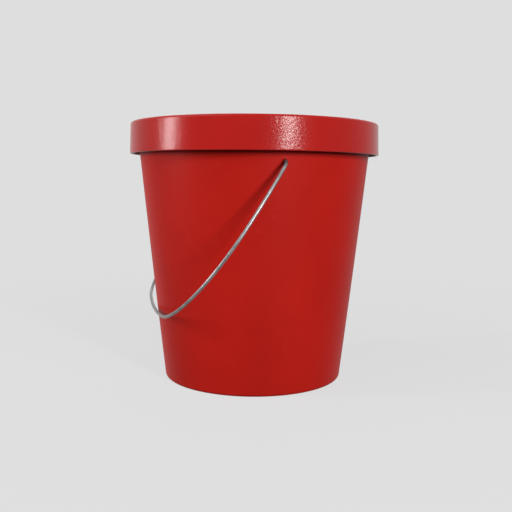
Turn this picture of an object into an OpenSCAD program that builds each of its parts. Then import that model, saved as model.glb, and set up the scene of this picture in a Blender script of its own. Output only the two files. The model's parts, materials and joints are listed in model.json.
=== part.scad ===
// Ten-litre household bucket with a deep push-on lid and a wire bail.
// The bucket stands on z = 0 with its axis on Z, and the bail turns about Y.

/* [Bucket] */
// Height from the foot to the top of the rim
bucket_h = 284; // [200:1:340]
// Outside diameter of the wall at the foot
foot_d = 202.4; // [160:0.2:240]
// Outside diameter of the wall at the rim
mouth_d = 264.6; // [240:0.2:300]
// Thickness of the wall
wall = 2.5; // [1.5:0.1:4]
// Thickness of the floor
floor_t = 3; // [2:0.1:6]
// Height of the foot ring below the floor
foot_h = 2; // [1:0.1:5]
// Width of the foot ring
foot_w = 7; // [5:0.1:14]
// Radius of the outer edge at the foot
foot_round = 2; // [1:0.1:4]
// Radius inside, between the wall and the floor
floor_round = 6; // [3:0.1:12]

/* [Rim] */
// How far the rim stands out from the wall
rim_w = 4.1; // [3:0.1:10]
// Thickness of the rim
rim_t = 2.2; // [1.5:0.1:3.5]
// Depth of the rim's turned-down lip
rim_h = 8; // [5:0.1:16]
// Thickness of the turned-down lip
lip_t = 1.8; // [1:0.1:2.2]
// Radius of the rim's upper edges
rim_round = 1; // [0.5:0.1:1.4]

/* [Lid] */
// Depth of the lid's skirt, over the panel
skirt_h = 34.5; // [20:0.5:60]
// Thickness of the lid's panel
panel_t = 2.6; // [1.5:0.1:4]
// Thickness of the lid's skirt
skirt_t = 2.3; // [1.5:0.1:4]
// How much wider in radius the skirt is at its lower edge
skirt_flare = 0.95; // [0:0.05:3]
// Radius of the lid's outer edge at the top
lid_round = 3; // [2:0.1:4]
// Radius of the skirt's lower edge
skirt_round = 1; // [0.4:0.1:1.1]
// Radial play between the rim and the skirt
skirt_play = 0.35; // [0.2:0.05:1]
// Gap between the rim and the panel that rests on it
seat_gap = 0.3; // [0.1:0.05:1]

/* [Handle] */
// Diameter of the wire
wire_d = 3.4; // [3:0.1:6]
// Play round the wire in its holes
hole_play = 0.6; // [0.3:0.05:1]
// Width of the raised lip round each hole
boss_w = 2; // [1:0.1:4]
// How far the raised lip stands out from the wall
boss_h = 0.8; // [0.3:0.1:1.5]
// Reach of the straight wire past the wall
stub_reach = 1.9; // [1.6:0.1:6]
// Gap between the skirt and the wire when the handle is upright
lid_clear = 0.4; // [0.3:0.05:5]
// Drop from the end of the wire's shoulder to the level of the skirt
pivot_lead = 1.8; // [0:0.1:20]
// Turn of the shoulder bend, in degrees
shoulder_turn = 70; // [50:0.5:85]
// Radius of the long gentle bow of each leg
leg_r = 313; // [150:1:600]
// Turn of each leg, in degrees
leg_turn = 13.5; // [5:0.5:30]
// Radius of each lower corner
corner_r = 105; // [60:1:120]
// Turn of the gentle bow that joins the corners, from its middle to each end, in degrees
bottom_turn = 6; // [2:0.5:30]
// Centreline radius of the hook inside the wall
hook_bend = 4.5; // [4:0.1:9]
// Length of the hook, from the pivot axis to its tip
hook_len = 12; // [10:0.5:20]
// Gap between the hanging handle's middle and the wall
hang_gap = 3; // [0.5:0.1:20]

/* [Hidden] */
$fn = 128;
arc_steps = 8;

foot_r = foot_d / 2;
mouth_r = mouth_d / 2;
taper = (mouth_r - foot_r) / bucket_h;
floor_z = foot_h + floor_t;
rim_r = mouth_r + rim_w;

lid_z = bucket_h + seat_gap + panel_t;
skirt_z = lid_z - skirt_h;
lid_in_r = rim_r + skirt_play;
lid_top_r = lid_in_r + skirt_t;
lid_low_r = lid_top_r + skirt_flare;

wire_r = wire_d / 2;
joint_gap = 0.02;
joint_rise = 0.05;
joint_w = 0.3;
hole_d = wire_d + 2 * hole_play;
boss_d = hole_d + 2 * boss_w;
leg_start = shoulder_turn;
corner_start = leg_start + leg_turn;
corner_turn = 180 - bottom_turn - corner_start;
bottom_start = corner_start + corner_turn;

// The handle's loop lies in a plane: u runs along the pivot axis, v away from it.
// The shoulder ends beside the skirt's lower edge and starts just outside the wall.
shoulder_end_u = lid_low_r + wire_r + lid_clear;
stub_u = wall_r(skirt_z) + stub_reach;
shoulder_r = (shoulder_end_u - stub_u) / sin(shoulder_turn);
shoulder_end = [shoulder_end_u, shoulder_r * (1 - cos(shoulder_turn))];
leg_end = arc_end(shoulder_end, leg_r, leg_start, leg_turn);
corner_end = arc_end(leg_end, corner_r, corner_start, corner_turn);
bottom_r = corner_end[0] / sin(bottom_start);
loop_depth = corner_end[1] + bottom_r * (1 + cos(bottom_start));

pivot_z = skirt_z - pivot_lead - shoulder_end[1];
pivot_wall_r = wall_r(pivot_z);
hook_u = pivot_wall_r - wall - hook_bend;

// The handle hangs with its middle hang_gap off the sloping wall.
taper_turn = atan(taper);
hang_reach = pivot_wall_r + wire_r + hang_gap;
hang_tilt = taper_turn + acos(hang_reach * cos(taper_turn) / loop_depth);

// Outside radius of the wall at height z
function wall_r(z) = foot_r + taper * z;

// Centre of a left-hand arc that starts at p with the given heading
function arc_centre(p, r, heading) = [p[0] - r * sin(heading), p[1] + r * cos(heading)];

// End of a left-hand arc that starts at p with the given heading
function arc_end(p, r, heading, turn) =
    let (c = arc_centre(p, r, heading))
    [c[0] + r * sin(heading + turn), c[1] - r * cos(heading + turn)];

// Points of an arc round c, from one polar angle to another
function arc_points(c, r, from, to) =
    [for (i = [0 : arc_steps]) let (a = from + (to - from) * i / arc_steps) [c[0] + r * cos(a), c[1] + r * sin(a)]];

// Half section of the bucket: foot ring, tapered wall and a rim that turns down
module bucket_section() {
    flange_z = bucket_h - rim_t;
    lip_in_r = rim_r - lip_t;
    foot_in_r = foot_r - foot_w;
    inner_foot_r = wall_r(floor_z) - wall;
    inner_mouth_r = mouth_r - wall;
    polygon(concat(
        [[0, foot_h], [foot_in_r, foot_h], [foot_in_r, 0]],
        arc_points([foot_r - foot_round + taper * foot_round, foot_round], foot_round, -90, 0),
        [[wall_r(flange_z), flange_z], [lip_in_r, flange_z], [lip_in_r, bucket_h - rim_h]],
        [[rim_r, bucket_h - rim_h]],
        arc_points([rim_r - rim_round, bucket_h - rim_round], rim_round, 0, 90),
        arc_points([inner_mouth_r + rim_round, bucket_h - rim_round], rim_round, 90, 180),
        [[inner_foot_r + taper * floor_round, floor_z + floor_round]],
        arc_points([inner_foot_r - floor_round, floor_z + floor_round], floor_round, 0, -90),
        [[0, floor_z]]
    ));
}

// Place a child on the wall at both ends of the pivot axis, pointing outwards
module at_pivots(reach) {
    for (side = [0, 180])
        rotate([0, 0, side])
            translate([0, reach, pivot_z])
                rotate([-90, 0, 0])
                    children();
}

module bucket_body() {
    color([0.70, 0.11, 0.09])
        difference() {
            union() {
                rotate_extrude() bucket_section();
                at_pivots(pivot_wall_r - wall / 2)
                    cylinder(d = boss_d, h = wall / 2 + boss_h);
            }
            at_pivots(pivot_wall_r - 2 * wall)
                cylinder(d = hole_d, h = 2 * wall + 2 * boss_h);
        }
}

// Half section of the lid: flat panel and a deep skirt that flares slightly
module lid_section() {
    panel_z = lid_z - panel_t;
    skirt_in_r = lid_low_r - skirt_t;
    polygon(concat(
        [[0, panel_z], [lid_in_r, panel_z]],
        arc_points([skirt_in_r + skirt_round, skirt_z + skirt_round], skirt_round, 180, 270),
        arc_points([lid_low_r - skirt_round, skirt_z + skirt_round], skirt_round, -90, 0),
        arc_points([lid_top_r - lid_round, lid_z - lid_round], lid_round, 0, 90),
        [[0, lid_z]]
    ));
}

module lid() {
    color([0.76, 0.12, 0.09]) rotate_extrude() lid_section();
}

// Short collar round the wire at p, across the heading, where one bend passes into the next
module wire_joint(p, heading) {
    translate(concat(p, 0))
        rotate([0, 0, heading - 90])
            rotate([-90, 0, 0])
                cylinder(d = wire_d + joint_rise, h = joint_w, center = true, $fn = 32);
}

// Bent wire: a left-hand arc that starts at p with the given heading, with a joint at its start
module wire_arc(p, r, heading, turn) {
    trim = joint_gap / r * 180 / PI;
    translate(concat(arc_centre(p, r, heading), 0))
        rotate([0, 0, heading - 90 + trim])
            rotate_extrude(angle = turn - 2 * trim)
                translate([r, 0]) circle(d = wire_d, $fn = 32);
    wire_joint(p, heading);
}

// Straight wire from p along the pivot axis, or along v
module wire_run(p, length, along_v = false) {
    translate(concat(p, 0))
        rotate(along_v ? [-90, 0, 0] : [0, 90, 0])
            translate([0, 0, joint_gap])
                cylinder(d = wire_d, h = length - 2 * joint_gap, $fn = 32);
}

// One side of the loop: hook, stub through the wall, shoulder, leg, corner and half the bottom
module half_loop() {
    wire_run([hook_u, hook_bend], hook_len - hook_bend, along_v = true);
    wire_arc([hook_u, hook_bend], hook_bend, -90, 90);
    wire_run([hook_u + hook_bend, 0], stub_u - hook_u - hook_bend);
    wire_joint([hook_u + hook_bend, 0], 0);
    wire_arc([stub_u, 0], shoulder_r, 0, shoulder_turn);
    wire_arc(shoulder_end, leg_r, leg_start, leg_turn);
    wire_arc(leg_end, corner_r, corner_start, corner_turn);
    wire_arc(corner_end, bottom_r, bottom_start, bottom_turn);
}

module wire_handle() {
    color([0.66, 0.67, 0.68])
        translate([0, 0, pivot_z])
            rotate([0, -hang_tilt, 0])
                rotate([0, 0, 90]) {
                    half_loop();
                    mirror([1, 0, 0]) half_loop();
                    wire_joint([0, loop_depth], 180);
                }
}

bucket_body();
lid();
wire_handle();
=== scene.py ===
import json
import math

import bpy
import numpy as np
from mathutils import Matrix, Vector


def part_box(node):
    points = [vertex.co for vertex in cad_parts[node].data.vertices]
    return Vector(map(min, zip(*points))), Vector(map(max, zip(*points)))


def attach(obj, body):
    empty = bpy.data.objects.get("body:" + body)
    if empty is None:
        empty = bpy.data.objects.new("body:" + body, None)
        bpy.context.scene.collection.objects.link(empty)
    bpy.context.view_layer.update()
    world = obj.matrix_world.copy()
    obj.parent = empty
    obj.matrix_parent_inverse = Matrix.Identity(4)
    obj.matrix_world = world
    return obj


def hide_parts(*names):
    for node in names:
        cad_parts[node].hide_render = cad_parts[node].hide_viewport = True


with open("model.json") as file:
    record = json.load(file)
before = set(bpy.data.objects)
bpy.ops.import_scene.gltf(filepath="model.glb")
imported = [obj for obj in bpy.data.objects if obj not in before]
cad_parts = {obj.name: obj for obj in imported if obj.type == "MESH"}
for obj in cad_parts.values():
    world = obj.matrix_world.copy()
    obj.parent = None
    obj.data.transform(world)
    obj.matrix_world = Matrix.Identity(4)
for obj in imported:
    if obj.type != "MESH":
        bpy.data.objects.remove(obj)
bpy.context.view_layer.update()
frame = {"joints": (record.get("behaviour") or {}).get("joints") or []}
scene = bpy.context.scene
mm = 0.001


# Camera

photoView = {
    "azimuth": -13.4,  # degrees round the bucket; the near hole then sits right of the middle
    "distance": 0.8057,  # metres from the bucket's axis
    "height": 0.2233,  # metres above the floor
    "pitch": 6.131,  # degrees downwards
    "yaw": 0.212,  # degrees to the right
    "roll": 0.539,  # degrees, the picture's right side lower
    "lens": 49.04,  # mm
    "sensor": 36.0,  # mm
}


def aroundBucket(azimuth, distance, height):
    # A point seen from the bucket's axis at an azimuth, where 0 is -Y and 90 is +X
    a = math.radians(azimuth)
    return Vector((math.sin(a) * distance, -math.cos(a) * distance, height))


def makeCamera(view):
    data = bpy.data.cameras.new("photoCamera")
    data.lens = view["lens"]
    data.sensor_width = view["sensor"]
    data.clip_start, data.clip_end = 0.01, 200
    camera = bpy.data.objects.new("photoCamera", data)
    scene.collection.objects.link(camera)
    turn = Matrix.Rotation(math.radians(view["azimuth"] - view["yaw"]), 4, "Z")
    tip = Matrix.Rotation(math.radians(90 - view["pitch"]), 4, "X")
    roll = Matrix.Rotation(math.radians(view["roll"]), 4, "Z")
    place = Matrix.Translation(aroundBucket(view["azimuth"], view["distance"], view["height"]))
    camera.matrix_world = place @ turn @ tip @ roll
    scene.camera = camera


makeCamera(photoView)
print("camera set")


# Shapes: profiles and surfaces as whole arrays, in millimetres until a mesh is made

def arc(centre, radius, start, end, count):
    # Points of a circular arc: centre + radius * (cos, sin) of an angle that runs evenly
    a = np.radians(np.linspace(start, end, count))
    return np.stack([centre[0] + radius * np.cos(a), centre[1] + radius * np.sin(a)], -1)


def stretch(start, end, count):
    # Points of a straight line, crowded at both ends by a cosine so that flats stay flat beside fillets
    t = (1 - np.cos(np.linspace(0, np.pi, count))) / 2
    return np.asarray(start) + t[:, None] * (np.asarray(end, float) - start)


def joinRuns(*runs):
    # One outline from several runs, without the points that repeat where two runs meet
    points = np.concatenate(runs)
    keep = np.r_[True, np.linalg.norm(np.diff(points, axis=0), axis=1) > 1e-4]
    return points[keep]


def gridFaces(ids, wrap):
    # Quads between neighbouring rows and columns of a grid of vertex numbers
    if wrap:
        ids = np.concatenate([ids, ids[:, :1]], 1)
    return np.stack([ids[:-1, :-1], ids[:-1, 1:], ids[1:, 1:], ids[1:, :-1]], -1)


def gridIds(grid, start=0):
    # Vertex numbers of a grid of points, row by row from a first number
    return start + np.arange(grid.shape[0] * grid.shape[1]).reshape(grid.shape[:2])


def endFans(ids, low, high):
    # Triangles that close a tube: its first ring to one end point and its last ring to the other
    first, last = ids[0], ids[-1]
    return np.concatenate([
        np.stack([np.roll(first, -1), first, np.full_like(first, low)], -1),
        np.stack([last, np.roll(last, -1), np.full_like(last, high)], -1),
    ])


def spin(profile, turn):
    # A turned surface: each profile point's radius times the cosine and sine of each turn, at its own height
    r, z = profile[:, :1], profile[:, 1:]
    return np.stack([r * np.cos(turn), r * np.sin(turn), z + 0 * turn], -1)


def axisPoints(profile):
    # The points on the axis that are level with a profile's two ends
    return np.array([[0, 0, profile[0, 1]], [0, 0, profile[-1, 1]]])


def makePiece(name, points, quads, fans, body, node):
    # A mesh from whole arrays: unused points are dropped, and millimetres become metres
    used = np.unique(np.concatenate([quads.ravel(), fans.ravel()]))
    number = np.full(len(points), -1)
    number[used] = np.arange(len(used))
    faces = number[quads].tolist() + number[fans].tolist()
    mesh = bpy.data.meshes.new(name)
    mesh.from_pydata((points[used] * mm).tolist(), [], faces)
    mesh.validate()
    mesh.shade_smooth()
    piece = bpy.data.objects.new(name, mesh)
    scene.collection.objects.link(piece)
    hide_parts(node)
    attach(piece, body)
    print(name, "made,", len(mesh.polygons), "faces")
    return piece


# Bucket body

lidLow, lidHigh = [np.array(corner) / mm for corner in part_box("lid")]
rimHigh = np.array(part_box("bucket_body")[1]) / mm
pivotZ = next(j for j in frame["joints"] if j["type"] == "hinge")["pos_m"][2] / mm

bucketSize = {
    "height": float(rimHigh[2]),
    "rimRadius": float(rimHigh[0]),
    "footRadius": 101.2,
    "rimWidth": 4.1,
    "wall": 2.5,
    "floor": 3.0,
    "footHeight": 2.0,
    "footWidth": 7.0,
    "footRound": 2.0,
    "recessRound": 0.8,
    "floorRound": 6.0,
    "rimThickness": 2.2,
    "rimDepth": 8.0,
    "lipThickness": 1.8,
    "rimRound": 1.0,
    "flangeRound": 1.0,  # where the wall meets the rim's underside
    "lipRound": 0.8,
    "lipInnerRound": 0.6,
    "crown": 0.5,  # how far the wall's middle bows outwards
    "holeRadius": 2.3,
    "holeLip": 0.8,  # height of the raised lip
    "holeLipWidth": 2.0,
    "holeRound": 0.4,
    "windowHalf": 9.0,  # half the side of the patch round each hole
    "windowSteps": 17,  # columns and rows of the wall across a patch
    "patchRings": 14,
    "edgeRings": 4,  # round the hole's edge
    "tubeRings": 2,  # between the outer and the inner edge
    "poleRadius": 6.0,  # of the last ring before the axis
    "columns": 360,
}


def wallRadius(z, size):
    # The foot's radius plus a straight taper, bowed outwards by a parabola
    t = z / size["height"]
    mouth = size["rimRadius"] - size["rimWidth"]
    return size["footRadius"] + (mouth - size["footRadius"]) * t + size["crown"] * 4 * t * (1 - t)


def wallRun(heights, inset, size):
    # The wall's own curve at the given heights, moved inwards
    return np.stack([wallRadius(heights, size) - inset, heights], -1)


def bucketProfile(size):
    # Half section from the underside's centre, up the outside, over the rim and down to the floor's centre
    foot, ring, rim, top = (size[k] for k in ("footRadius", "footWidth", "rimRadius", "height"))
    footRound, recessRound, floorRound = (size[k] for k in ("footRound", "recessRound", "floorRound"))
    rimRound, lipRound, flangeRound = (size[k] for k in ("rimRound", "lipRound", "flangeRound"))
    innerRound, pole, recess = (size[k] for k in ("lipInnerRound", "poleRadius", "footHeight"))
    floorZ = recess + size["floor"]
    flange = top - size["rimThickness"]
    lipBottom = top - size["rimDepth"]
    lipInner = rim - size["lipThickness"]
    window = np.linspace(pivotZ - size["windowHalf"], pivotZ + size["windowHalf"], size["windowSteps"])
    low = stretch((footRound, 0), (window[0], 0), 46)[:, 0]
    high = stretch((window[-1], 0), (flange - flangeRound, 0), 12)[:, 0]
    wallZ = np.concatenate([low[:-1], window, high[1:]])
    innerZ = wallZ[wallZ > floorZ + floorRound][::-1]
    flangeStart = wallRadius(flange, size)
    mouthInner = wallRadius(top, size) - size["wall"]
    floorEdge = wallRadius(floorZ + floorRound, size) - size["wall"] - floorRound
    return joinRuns(
        stretch((pole, recess), (foot - ring - recessRound, recess), 10),
        arc((foot - ring - recessRound, recess - recessRound), recessRound, 90, 0, 5),
        arc((foot - ring + recessRound, recessRound), recessRound, 180, 270, 5),
        stretch((foot - ring + recessRound, 0), (foot - footRound, 0), 6),
        arc((foot - footRound, footRound), footRound, -90, 0, 8),
        wallRun(wallZ, 0, size),
        arc((flangeStart + flangeRound, flange - flangeRound), flangeRound, 180, 90, 5),
        stretch((flangeStart + flangeRound, flange), (lipInner - innerRound, flange), 4),
        arc((lipInner - innerRound, flange - innerRound), innerRound, 90, 0, 4),
        arc((lipInner + lipRound, lipBottom + lipRound), lipRound, 180, 270, 6),
        arc((rim - lipRound, lipBottom + lipRound), lipRound, -90, 0, 6),
        stretch((rim, lipBottom + lipRound), (rim, top - rimRound), 6),
        arc((rim - rimRound, top - rimRound), rimRound, 0, 90, 7),
        stretch((rim - rimRound, top), (mouthInner + rimRound, top), 6),
        arc((mouthInner + rimRound, top - rimRound), rimRound, 90, 180, 7),
        wallRun(innerZ, size["wall"], size),
        arc((floorEdge, floorZ + floorRound), floorRound, 0, -90, 10),
        stretch((floorEdge, floorZ), (pole, floorZ), 12),
    )


def bucketColumns(half, size):
    # Angles of the columns round the bucket: even steps, with a closer band across each hole's window
    spare = 0.3  # degrees kept free beside a window
    angles = np.arange(size["columns"]) * 360 / size["columns"]
    for middle in (90, 270):
        clear = angles[np.abs(angles - middle) > half + spare]
        angles = np.concatenate([clear, middle + np.linspace(-half, half, size["windowSteps"])])
    return np.sort(angles)


def holePatch(grid, rows, cols, side, inset, size):
    # Closes a square window in the wall down to its hole: points slide from the window's edge to a circle,
    # and their depth is the wall's own surface plus the raised lip, which fades with distance from the hole
    r0, r1, c0, c1 = rows[0], rows[-1], cols[0], cols[-1]
    rim = np.concatenate([
        [(r0, c) for c in cols[:-1]], [(r, c1) for r in rows[:-1]],
        [(r1, c) for c in cols[:0:-1]], [(r, c0) for r in rows[:0:-1]],
    ])
    edge = grid[rim[:, 0], rim[:, 1]]
    flat = edge[:, [0, 2]] - (0, pivotZ)
    circle = flat / np.linalg.norm(flat, axis=1, keepdims=True)
    mouth = size["holeRadius"] + size["holeRound"]
    crowding = 0.7  # below 1, the rings lie closer together near the hole
    t = np.linspace(0, 1, size["patchRings"] + 1)[1:, None, None] ** crowding
    spread = (1 - t) * flat + t * mouth * circle
    distance = np.linalg.norm(spread, axis=2)
    x, z = spread[..., 0], spread[..., 1] + pivotZ
    y = np.sqrt((wallRadius(z, size) - inset) ** 2 - x ** 2)
    if inset == 0:
        fade = np.clip((distance - mouth) / size["holeLipWidth"], 0, 1)
        y = y + size["holeLip"] * (1 + np.cos(np.pi * fade)) / 2
    # The hole's edge: a quarter circle that turns from the wall's surface into the hole
    ease = np.radians(np.linspace(0, 90, size["edgeRings"] + 1))[1:, None]
    out = -1 if inset else 1
    turnRadius = mouth - size["holeRound"] * np.sin(ease)
    turnX = turnRadius * circle[:, 0]
    turnZ = turnRadius * circle[:, 1] + pivotZ
    turnY = y[-1] - out * size["holeRound"] * (1 - np.cos(ease))
    rings = np.concatenate([
        np.stack([x, y * side, z], -1),
        np.stack([turnX, turnY * side, turnZ], -1),
    ])
    return rim, rings


def makeBucket(size):
    # The half section turned round the axis. At each hole, both faces of the wall have a window that a patch
    # closes, and rings spaced evenly on straight lines join the outer patch to the inner one.
    profile = bucketProfile(size)
    half = math.degrees(size["windowHalf"] / wallRadius(pivotZ, size))
    angles = bucketColumns(half, size)
    grid = spin(profile, np.radians(angles))
    ids = gridIds(grid)
    count = ids.size
    points, quads = [grid.reshape(-1, 3)], gridFaces(ids, True)
    keep = np.ones(quads.shape[:2], bool)
    surface = wallRadius(profile[:, 1], size)
    tolerance = 1e-3
    tunnels = []
    for middle, side in ((90, 1), (270, -1)):
        cols = np.flatnonzero(np.abs(angles - middle) < half + tolerance)
        patches, mouths = [], []
        for inset in (0, size["wall"]):
            onWall = np.isclose(profile[:, 0], surface - inset)
            inWindow = np.abs(profile[:, 1] - pivotZ) < size["windowHalf"] + tolerance
            rows = np.flatnonzero(onWall & inWindow)
            rows = rows[np.argsort(profile[rows, 1])]
            keep[rows.min():rows.max(), cols[0]:cols[-1]] = False
            rim, rings = holePatch(grid, rows, cols, side, inset, size)
            ringIds = gridIds(rings, count)
            count += ringIds.size
            points.append(rings.reshape(-1, 3))
            patches.append(np.concatenate([ids[rim[:, 0], rim[:, 1]][None], ringIds]))
            mouths.append(rings[-1])
        t = np.linspace(0, 1, size["tubeRings"] + 2)[1:-1, None, None]
        between = mouths[0] + t * (mouths[1] - mouths[0])
        betweenIds = gridIds(between, count)
        count += betweenIds.size
        points.append(between.reshape(-1, 3))
        column = np.concatenate([patches[0], betweenIds, patches[1][::-1]])
        tunnels.append(gridFaces(column, True).reshape(-1, 4))
    points = np.concatenate([*points, axisPoints(profile)])
    quads = np.concatenate([quads[keep].reshape(-1, 4), *tunnels])
    fans = endFans(ids, count, count + 1)
    return makePiece("bucketShell", points, quads, fans, "bucket", "bucket_body")


# Lid

lidSize = {
    "top": float(lidHigh[2]),
    "bottom": float(lidLow[2]),
    "radius": float(lidHigh[0]),
    "flare": 0.95,
    "skirt": 2.3,
    "panel": 2.6,
    "topRound": 3.0,
    "edgeRound": 1.0,
    "innerRound": 0.3,
    "dish": 0.7,  # how far the panel sinks towards its middle
    "dishEdge": 10.0,  # from the skirt's inside to where the dish begins
    "poleRadius": 3.0,  # of the last ring before the axis
    "columns": 360,
}


def lidProfile(size):
    # Half section from the panel's underside, down inside the skirt, up its outside and over the panel
    top, bottom, pole = (size[k] for k in ("top", "bottom", "poleRadius"))
    topRound, edgeRound, innerRound = (size[k] for k in ("topRound", "edgeRound", "innerRound"))
    lowRadius, topRadius = size["radius"], size["radius"] - size["flare"]
    innerLow, innerTop = lowRadius - size["skirt"], topRadius - size["skirt"]
    under = top - size["panel"]
    profile = joinRuns(
        stretch((pole, under), (innerTop - innerRound, under), 30),
        arc((innerTop - innerRound, under - innerRound), innerRound, 90, 0, 4),
        stretch((innerTop, under - innerRound), (innerLow, bottom + edgeRound), 14),
        arc((innerLow + edgeRound, bottom + edgeRound), edgeRound, 180, 270, 8),
        arc((lowRadius - edgeRound, bottom + edgeRound), edgeRound, -90, 0, 8),
        stretch((lowRadius, bottom + edgeRound), (topRadius, top - topRound), 20),
        arc((topRadius - topRound, top - topRound), topRound, 0, 90, 12),
        stretch((topRadius - topRound, top), (pole, top), 40),
    )
    # The panel's dish: a smooth step of the radius, 3 t squared less 2 t cubed, the same on both faces
    t = np.clip(profile[:, 0] / (innerTop - size["dishEdge"]), 0, 1)
    onPanel = profile[:, 1] > under - innerRound / 2
    profile[:, 1] -= np.where(onPanel, size["dish"] * (1 - t * t * (3 - 2 * t)), 0)
    return profile


def makeLid(size):
    # The half section turned round the axis in even steps
    profile = lidProfile(size)
    grid = spin(profile, np.radians(np.arange(size["columns"]) * 360 / size["columns"]))
    ids = gridIds(grid)
    points = np.concatenate([grid.reshape(-1, 3), axisPoints(profile)])
    quads = gridFaces(ids, True).reshape(-1, 4)
    fans = endFans(ids, ids.size, ids.size + 1)
    return makePiece("lidCap", points, quads, fans, "lid", "lid")


# Wire handle

wireSize = {
    "radius": 1.7,
    "sides": 24,
    "stubReach": 1.9,
    "lidClear": 0.4,
    "shoulderTurn": 70.0,  # degrees, as the other turns
    "legRadius": 313.0,
    "legTurn": 13.5,
    "cornerRadius": 105.0,
    "cornerTurn": 90.5,
    "hookRadius": 4.5,
    "hookLength": 12.0,
    "hangGap": 3.0,
    "tipRound": 0.5,
    "tipRings": 5,
}


def bend(start, radius, heading, turn, count):
    # A left-hand arc from a point with a heading: its centre lies at right angles to the heading
    h = math.radians(heading)
    centre = (start[0] - radius * math.sin(h), start[1] + radius * math.cos(h))
    return arc(centre, radius, heading - 90, heading - 90 + turn, count)


def handlePath(size):
    # One side of the loop in its own plane, from the hook's tip to the middle of the bottom
    footRadius, top = bucketSize["footRadius"], bucketSize["height"]
    taper = (bucketSize["rimRadius"] - bucketSize["rimWidth"] - footRadius) / top
    shoulderU = lidSize["radius"] + size["radius"] + size["lidClear"]
    stubU = footRadius + taper * lidSize["bottom"] + size["stubReach"]
    shoulderRadius = (shoulderU - stubU) / math.sin(math.radians(size["shoulderTurn"]))
    wallAtPivot = footRadius + taper * pivotZ
    hookR = size["hookRadius"]
    hookU = wallAtPivot - bucketSize["wall"] - hookR
    legStart = size["shoulderTurn"]
    cornerStart = legStart + size["legTurn"]
    bottomStart = cornerStart + size["cornerTurn"]
    shoulder = bend((stubU, 0), shoulderRadius, 0, size["shoulderTurn"], 28)
    leg = bend(shoulder[-1], size["legRadius"], legStart, size["legTurn"], 40)
    corner = bend(leg[-1], size["cornerRadius"], cornerStart, size["cornerTurn"], 64)
    bottomRadius = corner[-1][0] / math.sin(math.radians(bottomStart))
    bottom = bend(corner[-1], bottomRadius, bottomStart, 180 - bottomStart, 24)
    path = joinRuns(
        stretch((hookU, size["hookLength"]), (hookU, hookR), 8),
        bend((hookU, hookR), hookR, -90, 90, 14),
        stretch((hookU + hookR, 0), (stubU, 0), 8),
        shoulder, leg, corner, bottom,
    )
    depth = path[-1][1]
    reach = wallAtPivot + size["radius"] + size["hangGap"]
    taperTurn = math.atan(taper)
    tilt = taperTurn + math.acos(reach * math.cos(taperTurn) / depth)
    return path, tilt


def makeHandle(size):
    # A tube along the path: each point of the line plus the radius times a circle's cosine and sine, on two
    # directions square to the line. The path lies in a plane that hangs from the pivot axis.
    path, tilt = handlePath(size)
    plane = np.concatenate([path, path[:-1][::-1] * (-1, 1)])
    away = np.array([-math.cos(tilt), 0, -math.sin(tilt)])
    along = np.array([0, 1.0, 0])
    line = plane[:, :1] * along + plane[:, 1:] * away + (0, 0, pivotZ)
    tangent = np.gradient(line, axis=0)
    tangent /= np.linalg.norm(tangent, axis=1, keepdims=True)
    across = np.cross(along, away)
    inward = np.cross(tangent, across)
    # Each tip is rounded: a few rings of growing radius start and end the tube
    tip, rings, last = size["tipRound"], size["tipRings"], len(plane) - 1
    ease = np.linspace(0, np.pi / 2, rings + 1)[1:]
    tipRadius = size["radius"] - tip * (1 - np.sin(ease))
    tipBack = tip * np.cos(ease)
    startLine = line[0] - tangent[0] * (tipBack[:, None] - tip)
    endLine = line[-1] + tangent[-1] * (tipBack[::-1, None] - tip)
    line = np.concatenate([startLine, line[1:-1], endLine])
    radius = np.concatenate([tipRadius, np.full(last - 1, size["radius"]), tipRadius[::-1]])
    inward = inward[np.r_[np.zeros(rings, int), np.arange(1, last), np.full(rings, last)]]
    turn = np.linspace(0, 2 * np.pi, size["sides"], endpoint=False)
    ring = np.cos(turn)[None, :, None] * inward[:, None] - np.sin(turn)[None, :, None] * across
    grid = line[:, None] + radius[:, None, None] * ring
    ids = gridIds(grid)
    points = np.concatenate([grid.reshape(-1, 3), line[:1], line[-1:]])
    quads = gridFaces(ids, True).reshape(-1, 4)
    fans = endFans(ids, ids.size, ids.size + 1)
    return makePiece("wireBail", points, quads, fans, "handle", "wire_handle")


bucket = makeBucket(bucketSize)
lid = makeLid(lidSize)
handle = makeHandle(wireSize)


# Materials

def addNode(tree, kind, inputs=None, **settings):
    node = tree.nodes.new(kind)
    for key, value in settings.items():
        setattr(node, key, value)
    for key, value in (inputs or {}).items():
        if isinstance(value, bpy.types.NodeSocket):
            tree.links.new(value, node.inputs[key])
        else:
            node.inputs[key].default_value = value
    return node


def noise(tree, place, scale, detail, **more):
    node = addNode(tree, "ShaderNodeTexNoise", {"Vector": place, "Scale": scale, "Detail": detail, **more})
    return node.outputs["Fac"]


def arithmetic(tree, operation, *values):
    return addNode(tree, "ShaderNodeMath", dict(enumerate(values)), operation=operation).outputs[0]


def remap(tree, value, before, after=(0.0, 1.0)):
    ends = {"From Min": before[0], "From Max": before[1], "To Min": after[0], "To Max": after[1]}
    return addNode(tree, "ShaderNodeMapRange", {"Value": value, **ends}).outputs[0]


def mixColours(tree, factor, first, second):
    node = addNode(tree, "ShaderNodeMix", {"Factor": factor, 6: first, 7: second}, data_type="RGBA")
    return node.outputs[2]


def newGroup(name, inputs, outputs):
    tree = bpy.data.node_groups.new(name, "ShaderNodeTree")
    for label, kind in inputs:
        tree.interface.new_socket(name=label, in_out="INPUT", socket_type=kind)
    for label, kind in outputs:
        tree.interface.new_socket(name=label, in_out="OUTPUT", socket_type=kind)
    return tree, tree.nodes.new("NodeGroupInput"), tree.nodes.new("NodeGroupOutput")


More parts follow.
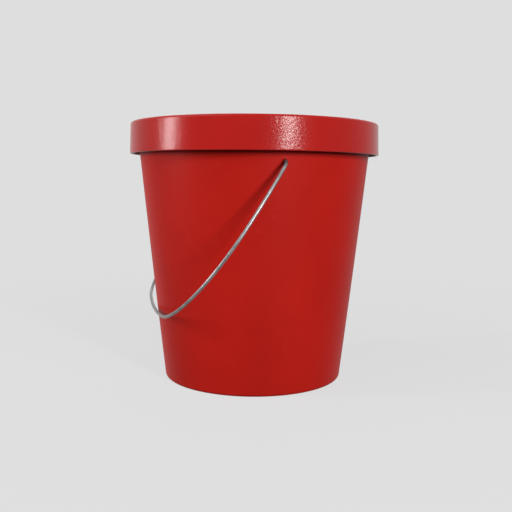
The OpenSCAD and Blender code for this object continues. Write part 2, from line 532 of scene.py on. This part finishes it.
skinPattern = {
    "driftScale": 14.0,  # slow drift of colour and roughness
    "driftSpan": (0.3, 0.7),
    "driftShade": (0.93, 1.05),
    "driftRoughness": 0.08,
    "peelScale": 330.0,  # orange peel
    "peelGrain": 0.65,
    "patchScale": 22.0,  # where scuffs show
    "patchSpan": (0.60, 0.74),
    "curlScale": 46.0,  # scuffs run along this noise's middle level
    "curlBend": 0.3,
    "curlWidth": 0.006,
    "scuffTint": (0.62, 0.10, 0.08, 1),
    "scuffRoughness": 0.2,
}


def mouldedSkin(pattern):
    # Moulded plastic: slow colour drift, orange peel, and fine curved scuffs in patches
    tree, given, result = newGroup(
        "mouldedSkin",
        [("Tint", "NodeSocketColor"), ("Roughness", "NodeSocketFloat"),
         ("Peel", "NodeSocketFloat"), ("Scuffs", "NodeSocketFloat")],
        [("Colour", "NodeSocketColor"), ("Roughness", "NodeSocketFloat"), ("Normal", "NodeSocketVector")],
    )
    place = addNode(tree, "ShaderNodeTexCoord").outputs["Object"]
    drift = noise(tree, place, pattern["driftScale"], 3.0)
    peel = noise(tree, place, pattern["peelScale"], 3.0, Roughness=pattern["peelGrain"])
    patch = noise(tree, place, pattern["patchScale"], 2.0)
    curl = noise(tree, place, pattern["curlScale"], 1.0, Distortion=pattern["curlBend"])
    offLevel = arithmetic(tree, "ABSOLUTE", arithmetic(tree, "SUBTRACT", curl, 0.5))
    line = remap(tree, offLevel, (0.0, pattern["curlWidth"]), (1.0, 0.0))
    scuff = arithmetic(tree, "MULTIPLY", line, remap(tree, patch, pattern["patchSpan"]))
    scuff = arithmetic(tree, "MULTIPLY", scuff, given.outputs["Scuffs"])
    shade = remap(tree, drift, pattern["driftSpan"], pattern["driftShade"])
    tint = addNode(tree, "ShaderNodeVectorMath", {0: given.outputs["Tint"], "Scale": shade}, operation="SCALE")
    colour = mixColours(tree, scuff, tint.outputs[0], pattern["scuffTint"])
    rough = arithmetic(tree, "MULTIPLY_ADD", drift, pattern["driftRoughness"], given.outputs["Roughness"])
    rough = arithmetic(tree, "MULTIPLY_ADD", scuff, pattern["scuffRoughness"], rough)
    bump = addNode(tree, "ShaderNodeBump", {"Height": peel, "Distance": given.outputs["Peel"]})
    tree.links.new(colour, result.inputs["Colour"])
    tree.links.new(rough, result.inputs["Roughness"])
    tree.links.new(bump.outputs[0], result.inputs["Normal"])
    return tree


def newMaterial(name):
    material = bpy.data.materials.new(name)
    material.use_nodes = True
    tree = material.node_tree
    shader = next(n for n in tree.nodes if n.type == "BSDF_PRINCIPLED")
    return material, tree, shader


plasticLook = {
    "bucket": {
        "piece": bucket,
        "tint": (0.385, 0.0100, 0.0064, 1),
        "ior": 1.49,
        "gloss": 0.065,
        "roughness": 0.40,
        "peel": 0.00008,
        "scuffs": 0.15,
    },
    "lid": {
        "piece": lid,
        "tint": (0.345, 0.0062, 0.0040, 1),
        "ior": 1.49,
        "gloss": 0.18,
        "roughness": 0.17,
        "peel": 0.00025,
        "scuffs": 0.1,
    },
}


def paintPlastic(name, look, skin):
    material, tree, shader = newMaterial(name + "Plastic")
    values = {label: look[label.lower()] for label in ("Tint", "Roughness", "Peel", "Scuffs")}
    group = addNode(tree, "ShaderNodeGroup", node_tree=skin)
    for label, value in values.items():
        group.inputs[label].default_value = value
    tree.links.new(group.outputs["Colour"], shader.inputs["Base Color"])
    tree.links.new(group.outputs["Roughness"], shader.inputs["Roughness"])
    tree.links.new(group.outputs["Normal"], shader.inputs["Normal"])
    shader.inputs["IOR"].default_value = look["ior"]
    shader.inputs["Specular IOR Level"].default_value = look["gloss"]
    look["piece"].data.materials.append(material)


wireLook = {
    "bright": (0.24, 0.227, 0.227, 1),
    "dull": (0.16, 0.151, 0.153, 1),
    "roughness": 0.26,
    "patchRoughness": 0.2,  # how much rougher the brightest patches are
    "metal": 0.75,
    "gloss": 0.3,
    "patchScale": 180.0,
    "patchGrain": 0.65,
    "patchSpan": (0.35, 0.65),
    "grainScale": 1400.0,
    "grainDepth": 0.00002,  # metres
}


def paintWire(look, piece):
    # Galvanised wire: zinc patches of two greys with a slightly uneven polish
    material, tree, shader = newMaterial("galvanisedWire")
    place = addNode(tree, "ShaderNodeTexCoord").outputs["Object"]
    patch = noise(tree, place, look["patchScale"], 4.0, Roughness=look["patchGrain"])
    grain = noise(tree, place, look["grainScale"], 2.0)
    colour = mixColours(tree, remap(tree, patch, look["patchSpan"]), look["dull"], look["bright"])
    rough = arithmetic(tree, "MULTIPLY_ADD", patch, look["patchRoughness"], look["roughness"])
    bump = addNode(tree, "ShaderNodeBump", {"Height": grain, "Distance": look["grainDepth"]})
    tree.links.new(colour, shader.inputs["Base Color"])
    tree.links.new(rough, shader.inputs["Roughness"])
    tree.links.new(bump.outputs[0], shader.inputs["Normal"])
    shader.inputs["Metallic"].default_value = look["metal"]
    shader.inputs["Specular IOR Level"].default_value = look["gloss"]
    piece.data.materials.append(material)


skin = mouldedSkin(skinPattern)
for name, look in plasticLook.items():
    paintPlastic(name, look, skin)
paintWire(wireLook, handle)
print("materials set")


# Studio: a pale floor, a pale surround and four soft lamps

studio = {
    "background": 0.7305,  # linear value of the pale grey surround
    "ambient": 0.11,  # linear value of the surround as a source of light
    "floorHalf": 60.0,  # metres
    "floorDrop": 0.0001,  # keeps the floor just below the foot
    "floorAlbedo": 0.10,  # how much light the floor throws back
    "floorShade": 0.08,  # how much of the floor's look is lit, and so can be shaded
    "floorLight": 0.95,  # how brightly the lamps light the floor beside the bucket
    "floorFade": (0.25, 1.0),  # the floor turns into the plain background over these distances
}

# Each lamp's place, the sides of its panel in metres, and its power in watts
lamps = {
    "leftLamp": {"azimuth": -91.0, "distance": 1.7, "height": 0.58, "wide": 0.13, "tall": 0.62, "power": 20},
    "frontLamp": {"azimuth": 16.0, "distance": 1.9, "height": 0.80, "wide": 0.18, "tall": 0.78, "power": 41},
    "highLamp": {"azimuth": -70.0, "distance": 1.6, "height": 2.0, "wide": 2.4, "tall": 2.0, "power": 22},
    "backLamp": {"azimuth": 165.0, "distance": 2.0, "height": 1.5, "wide": 1.8, "tall": 1.4, "power": 9},
}


def seenDirectly(tree):
    # 1 for rays from the camera, mirrors and glass, 0 for rays that light things
    path = addNode(tree, "ShaderNodeLightPath").outputs
    first = arithmetic(tree, "MAXIMUM", path["Is Camera Ray"], path["Is Glossy Ray"])
    return arithmetic(tree, "MAXIMUM", first, path["Is Transmission Ray"])


def greyOf(value):
    return value, value, value, 1


def makeSurround(size):
    world = bpy.data.worlds.new("studioWorld")
    scene.world = world
    world.use_nodes = True
    tree = world.node_tree
    level = remap(tree, seenDirectly(tree), (0.0, 1.0), (size["ambient"], size["background"]))
    tree.links.new(level, tree.nodes["Background"].inputs["Color"])


def makeFloor(size):
    # The floor looks like a mix of its own glow and a lit share that takes the shadows, and with distance from
    # the bucket it fades into the plain background. What it throws back as light is a separate dull grey.
    half = size["floorHalf"]
    mesh = bpy.data.meshes.new("floor")
    corners = [(-half, -half, 0), (half, -half, 0), (half, half, 0), (-half, half, 0)]
    mesh.from_pydata(corners, [], [(0, 1, 2, 3)])
    floor = bpy.data.objects.new("floor", mesh)
    scene.collection.objects.link(floor)
    floor.location.z = -size["floorDrop"]
    material, tree, shader = newMaterial("paleFloor")
    tree.nodes.remove(shader)
    lit = addNode(tree, "ShaderNodeBsdfDiffuse", {"Color": greyOf(size["floorAlbedo"])})
    shaded = addNode(tree, "ShaderNodeBsdfDiffuse", {"Color": greyOf(size["floorShade"])})
    glow = size["background"] - size["floorShade"] * size["floorLight"]
    plain = addNode(tree, "ShaderNodeEmission", {"Color": greyOf(glow)})
    near = addNode(tree, "ShaderNodeAddShader", {0: shaded.outputs[0], 1: plain.outputs[0]})
    far = addNode(tree, "ShaderNodeEmission", {"Color": greyOf(size["background"])})
    place = addNode(tree, "ShaderNodeTexCoord").outputs["Object"]
    distance = addNode(tree, "ShaderNodeVectorMath", {0: place}, operation="LENGTH").outputs["Value"]
    fade = remap(tree, distance, size["floorFade"])
    seen = addNode(tree, "ShaderNodeMixShader", {0: fade, 1: near.outputs[0], 2: far.outputs[0]})
    mix = addNode(tree, "ShaderNodeMixShader", {0: seenDirectly(tree), 1: lit.outputs[0], 2: seen.outputs[0]})
    out = next(n for n in tree.nodes if n.type == "OUTPUT_MATERIAL")
    tree.links.new(mix.outputs[0], out.inputs["Surface"])
    mesh.materials.append(material)


def makeLamp(name, size, target):
    data = bpy.data.lights.new(name, "AREA")
    data.shape = "RECTANGLE"
    data.size, data.size_y = size["wide"], size["tall"]
    data.energy = size["power"]
    lamp = bpy.data.objects.new(name, data)
    scene.collection.objects.link(lamp)
    lamp.location = aroundBucket(size["azimuth"], size["distance"], size["height"])
    lamp.rotation_euler = (target - lamp.location).to_track_quat("-Z", "Y").to_euler()


makeSurround(studio)
makeFloor(studio)
for name, size in lamps.items():
    makeLamp(name, size, Vector((0, 0, lidSize["bottom"] * mm)))
scene.view_settings.view_transform = "Standard"
print("studio set")
